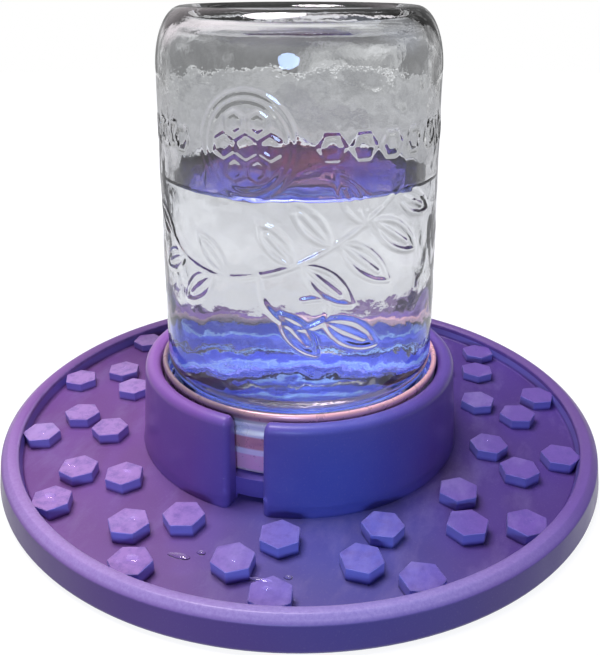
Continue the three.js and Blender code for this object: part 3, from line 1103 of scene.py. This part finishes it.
def around_from_slot(at):
    """Degrees anticlockwise from the slot."""
    return math.degrees(math.atan2(at.x, -at.y))


def between(before, start, end, after, share):
    """A place on the smooth line through four, at a share of the way from the second to the third."""
    bend, twist = 2 * before - 5 * start + 4 * end - after, 3 * start - before - 3 * end + after
    return mm * 0.5 * (2 * start + (end - before) * share + bend * share**2 + twist * share**3)


def curve_through(points):
    """A smooth line of close-set points, in metres, through places in millimetres on the flat wall."""
    line = []
    for k in range(len(points) - 1):
        before, start = points[max(k - 1, 0)], points[k]
        end, after = points[k + 1], points[min(k + 2, len(points) - 1)]
        count = max(2, int(math.dist(start, end) / line_step))
        for j in range(count):
            line.append(tuple(between(*four, j / count) for four in zip(before, start, end, after)))
    return line


def ring_line(centre, radius, sides=72, turned=0):
    """A ring, or a cell with a few straight sides."""
    points = []
    for k in range(sides + 1):
        angle = math.radians(360 * k / sides + turned)
        points.append((centre[0] + radius * math.cos(angle), centre[1] + radius * math.sin(angle)))
    line = []
    for start, end in zip(points, points[1:]):
        count = max(1, int(math.dist(start, end) / line_step))
        for j in range(count):
            line.append(tuple(mm * (q + (r - q) * j / count) for q, r in zip(start, end)))
    return line


def leaf_line(foot, tip, width):
    """The outline of a leaf, with its midrib."""
    (x, y), (dx, dy) = foot, (tip[0] - foot[0], tip[1] - foot[1])
    length = math.hypot(dx, dy)
    side = (-dy / length * width / 2, dx / length * width / 2)
    line = []
    for sign in (1, -1):
        middle = [(x + dx * t + sign * side[0] * w, y + dy * t + sign * side[1] * w) for t, w in leaf_shares]
        line += curve_through([foot] + middle + [tip])
    return line + curve_through([foot] + [(x + dx * t, y + dy * t) for t in midrib_shares])


def jar_ornament():
    """Pressed ornament on the jar's front: honeycomb in a ring, a row of cells, and a leafy spray below."""
    x, y = comb_middle
    lines = []
    for radius in comb_rings:
        lines += ring_line(comb_middle, radius)
    lines += ring_line(comb_middle, comb_cell, 6, 30)
    for k in range(6):
        angle = math.radians(60 * k)
        cell = (x + comb_pitch * math.cos(angle), y + comb_pitch * math.sin(angle))
        lines += ring_line(cell, comb_cell, 6, 30)
    for across in row_cells_across:
        lines += ring_line((across, y), row_cell, 6, 0)
    lines += curve_through(spray_stem)
    for foot, tip, width in spray_leaves:
        lines += leaf_line(foot, tip, width)
    return lines + curve_through(spray_tendril)


def cut_across(piece, low, high, cuts):
    """Cuts the outer wall between two rings into strips."""
    edit(piece, "EDGE")

    def upright(at, edge):
        ends = sorted(vertex.co.z for vertex in edge.verts)
        outer = min(vertex.co.xy.length for vertex in edge.verts) > jar_heel - 0.5 * mm
        return outer and abs(ends[0] - low) < 0.05 * mm and abs(ends[1] - high) < 0.05 * mm

    pick(piece, "EDGE", upright)
    bpy.ops.mesh.subdivide(number_cuts=cuts)
    done()


def on_outer_wall(at):
    return at.xy.length > jar_heel - 1.2 * mm and shoulder_top < at.z < heel_foot


def on_flat_wall(at):
    """A place on the outside, as if the wall were rolled out flat."""
    return (math.radians(around_from_slot(at)) * jar_body, at.z, 0)


def wall_radius(at, lines):
    """The outside of the glass at a place: its taper, its ornament and the slow waves of moulded glass."""
    radius = jar_body - jar_taper * (at.z - shoulder_top)
    away = lines.find(on_flat_wall(at))[2]
    if away < ornament_width / 2:
        faint = faint_share if at.z > faint_above or on_flat_wall(at)[0] < faint_left else 1
        radius += faint * ornament_height * (1 + math.cos(2 * math.pi * away / ornament_width)) / 2
    wave = waves.noise(Vector((at.x, at.y, at.z * 0.7)) / long_wave)
    wave += 0.5 * waves.noise(Vector((at.x, at.y, at.z * 0.8)) / short_wave)
    fade = min(1, (at.z - shoulder_top) / wave_fade, (heel_foot - at.z) / wave_fade)
    return radius + glass_wave * wave * fade


def relief(shell):
    """Gives the outside of the glass its pressed ornament and its screw thread."""
    ornament = jar_ornament()
    lines = KDTree(len(ornament))
    for k, (across, up) in enumerate(ornament):
        lines.insert((across, up, 0), k)
    lines.balance()
    near = ornament_width / 2 + ornament_margin
    edit(shell, "FACE")
    pick(shell, "FACE", lambda at, face: on_outer_wall(at) and lines.find(on_flat_wall(at))[2] < near)
    bpy.ops.mesh.subdivide(number_cuts=2)
    done()
    for vertex in shell.data.vertices:
        at = vertex.co
        radius = at.xy.length
        if on_outer_wall(at) and shoulder_top + 0.5 * mm < at.z < heel_foot - 0.5 * mm:
            scale = wall_radius(at, lines) / radius
        elif jar_low.z + mouth_round < at.z < shoulder_foot - 0.6 * mm and radius > jar_neck - 0.5 * mm:
            height = thread_height(at, jar_low.z + thread_start, glass_thread)
            scale = (jar_neck + thread_depth * height) / radius
        else:
            continue
        vertex.co = (at.x * scale, at.y * scale, at.z)


def jar_glass():
    shell = raised("jar_glass", jar_inside() + jar_outside(), 240)
    cut_across(shell, jar_low.z + mouth_round, shoulder_foot, neck_strips)
    cut_across(shell, shoulder_top, heel_foot, wall_strips)
    relief(shell)
    smooth(shell, 60)
    wear(shell, pressed_glass())
    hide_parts("jar")
    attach(shell, "jar")


def jar_feed():
    """The liquid in the jar, wetting the glass, with its edge drawn up at the wall."""
    level = feed_high.z
    wall = jar_body - jar_wall - jar_taper * (level - shoulder_top)
    bore = jar_neck - jar_wall + wetting
    outline = [(seal_high.x - 4.2 * mm, lid_high.z + 0.02 * mm), (bore, jar_low.z + mouth_round)]
    outline += [(bore, shoulder_foot)]
    outline += arc_between((bore, shoulder_foot), (jar_body - jar_wall + wetting, shoulder_top))
    outline += curled_edge(wall, level, jar_edge_curl)
    feed = raised("jar_feed", outline)
    smooth(feed, 40)
    wear(feed, clear_feed("feed in the jar", 0.05 * mm))
    wear_second(feed, painted_reflection_on_feed(), lambda at, face: face.normal.z > 0.9 and at.z > level - 0.1 * mm)
    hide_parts("jar_liquid")
    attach(feed, "jar")


def band_outline(hem_foot, thread_from, thread_to):
    """Section of the band's sheet: out along the lip, up outside, over the hem and down inside."""
    low, top = band_low.z, band_high.z
    wall, lip = band_high.x - band_inset, band_high.x - band_lip
    rise = thread_to - thread_from
    rows = [thread_from + rise * k / band_wall_steps for k in range(band_wall_steps + 1)]
    outline = [(lip, low)]
    outline += arc((wall - band_corner, low + band_corner), (band_corner, band_corner), -90, 0, 5)
    outline += [(wall, height) for height in rows]
    outline += [(wall - band_waist, hem_foot)]
    hem_middle = (band_high.x - hem_half_width, top - hem_half_height)
    outline += arc(hem_middle, (hem_half_width, hem_half_height), -50, 200, 12)
    outline += [(wall - sheet, hem_foot - hem_tuck)]
    outline += [(wall - sheet, height) for height in reversed(rows)]
    inside = band_corner - sheet
    outline += arc((wall - band_corner, low + band_corner), (inside, inside), 0, -90, 4)
    return outline + [(lip, low + sheet), (lip, low)]


def blue_highlights_and_shade():
    """Painted highlights as pale stripes on the inside's thread, with painted shade, a deeper blue the
    higher it is, above each.
    """
    tones = []
    for k in range(blue_highlight_count):
        crest = band_low.z + thread_start + k * thread_pitch
        tones += [(crest, blue_highlight)]
        tones += [(crest + blue_highlight_width, (0.15 - 0.03 * k, 0.19 - 0.04 * k, 0.90 - 0.17 * k))]
    return tones


def screw_band():
    """Rolled sheet ring: lip under the lid, wall with a pressed thread, rolled hem at its open edge."""
    hem_foot = band_high.z - hem_length
    thread_from, thread_to = band_low.z + 4 * mm, hem_foot - 1 * mm
    band = raised("screw_band_sheet", band_outline(hem_foot, thread_from, thread_to), 180, capped=False)
    middle = jar_low.z + thread_start + thread_pitch / 2
    for vertex in band.data.vertices:
        at = vertex.co
        if thread_from < at.z < thread_to and at.xy.length > band_high.x - 2 * mm:
            scale = 1 - band_thread_depth * thread_height(at, middle, band_thread) / at.xy.length
            vertex.co = (at.x * scale, at.y * scale, at.z)
    smooth(band, 40)
    # Painted reflections outside, tone by height, and a painted dark reflection on the hem's left
    tones = [(band_low.z + height, tone) for height, tone in rose_reflections]
    wear(band, lacquered_sheet("rose lacquer", rose, 0.3, 0.3, tones, dark_reflection_above=hem_foot - 1 * mm))

    def facing_in(at, face):
        return at.z < hem_foot and face.normal.x * at.x + face.normal.y * at.y < -0.3 * at.xy.length

    wear_second(band, lacquered_sheet("blue lacquer", blue, 0.25, 0.2, blue_highlights_and_shade()), facing_in)
    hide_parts("screw_band")
    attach(band, "band")


camera()
floor()
studio()
lamps()
tray_moulding()
dish_feed()
drops()
jar_glass()
jar_feed()
screw_band()
# Blue lacquer on the lid, with painted highlights on its rings
wear(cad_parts["lid_disc"], lacquered_sheet("lid lacquer", lid_blue, 0.3, 0.1, rings=lid_highlight_rings))
wear(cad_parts["lid_seal"], sealing_compound())

bpy.context.scene.view_settings.view_transform = "Standard"
